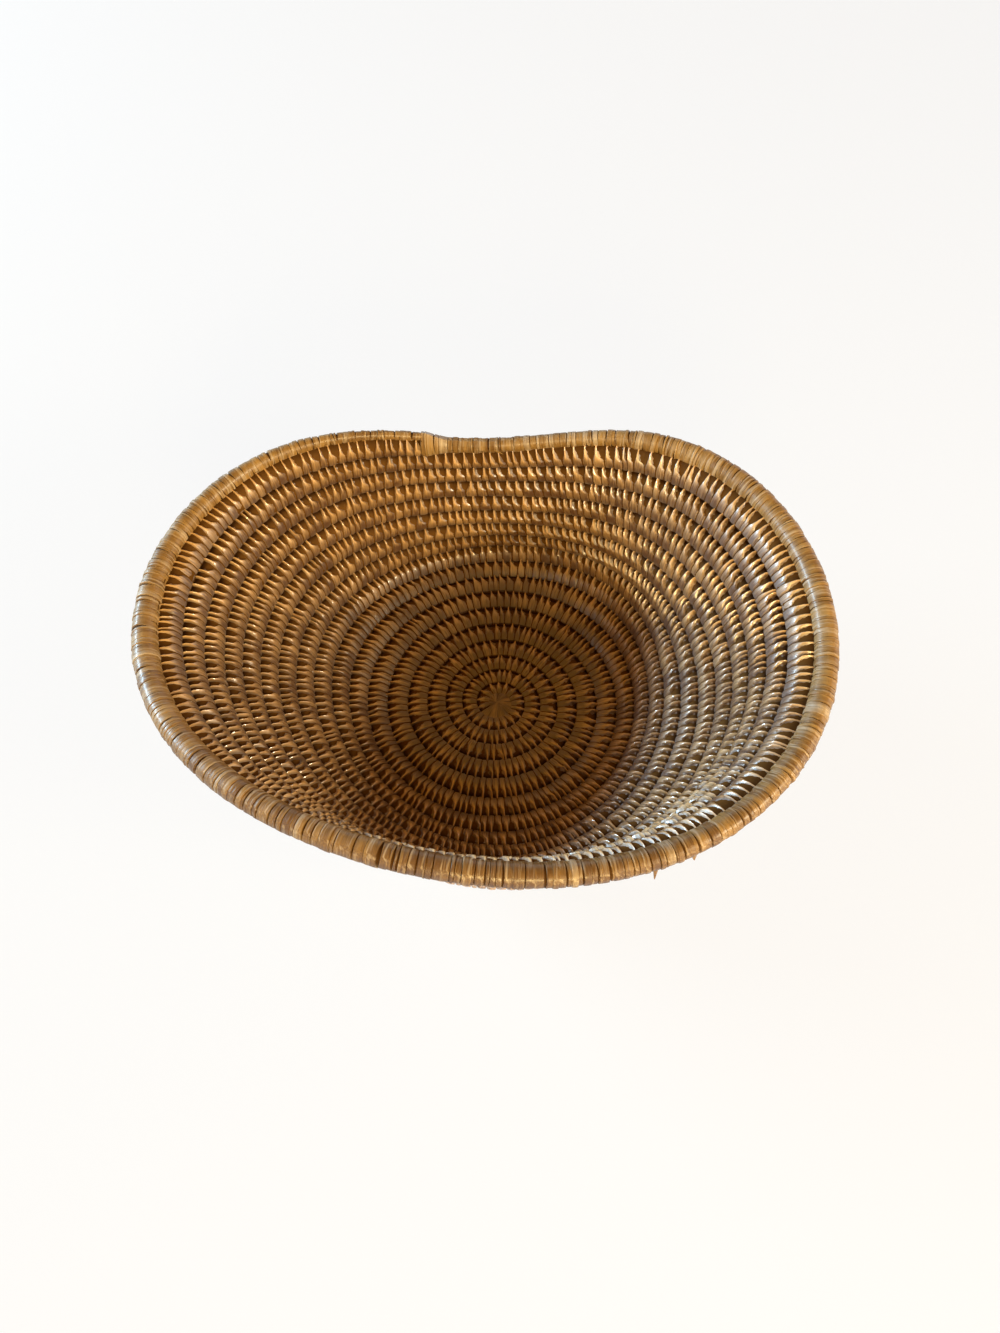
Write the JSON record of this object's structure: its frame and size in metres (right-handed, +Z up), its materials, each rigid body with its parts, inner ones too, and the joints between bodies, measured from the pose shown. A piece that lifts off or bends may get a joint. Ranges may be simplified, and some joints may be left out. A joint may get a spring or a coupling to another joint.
{
  "type": "coiled rattan bowl",
  "caption": "Deep oval bowl of coiled cane, wound from a flat round base up flared walls to a thicker bound rim, to hold fruit or bread.",
  "frame": {"origin": "under the middle of the coil, on the flat underside that the bowl stands on", "axes": "+Z up, +X to the right along the oval rim's length, +Y to the back, where the wall is steepest and the coil ends"},
  "size_m": [0.2474, 0.1971, 0.0957],
  "materials": {
    "binding_cane": "glossy split cane, golden brown, darker in the grooves",
    "rim_cane": "glossy split cane, golden, worn pale in places",
    "coil_core": "dull, hidden inside the binding",
    "start_button": "satin split cane, reddish brown"
  },
  "bodies": {
    "root": {"start_button": "start_button", "coil_core": "coil_core", "binding_strip_01": "binding_cane", "binding_strip_02": "binding_cane", "binding_strip_03": "binding_cane", "binding_strip_04": "binding_cane", "binding_strip_05": "binding_cane", "binding_strip_06": "binding_cane", "binding_strip_07": "binding_cane", "binding_strip_08": "binding_cane", "binding_strip_09": "binding_cane", "binding_strip_10": "binding_cane", "binding_strip_11": "binding_cane", "binding_strip_12": "binding_cane", "binding_strip_13": "binding_cane", "binding_strip_14": "binding_cane", "binding_strip_15": "binding_cane", "binding_strip_16": "binding_cane", "binding_strip_17": "binding_cane", "binding_strip_18": "binding_cane", "binding_strip_19": "binding_cane", "binding_strip_20": "binding_cane", "rim_strip_1": "rim_cane", "rim_strip_2": "rim_cane", "rim_strip_3": "rim_cane"}
  },
  "joints": []
}
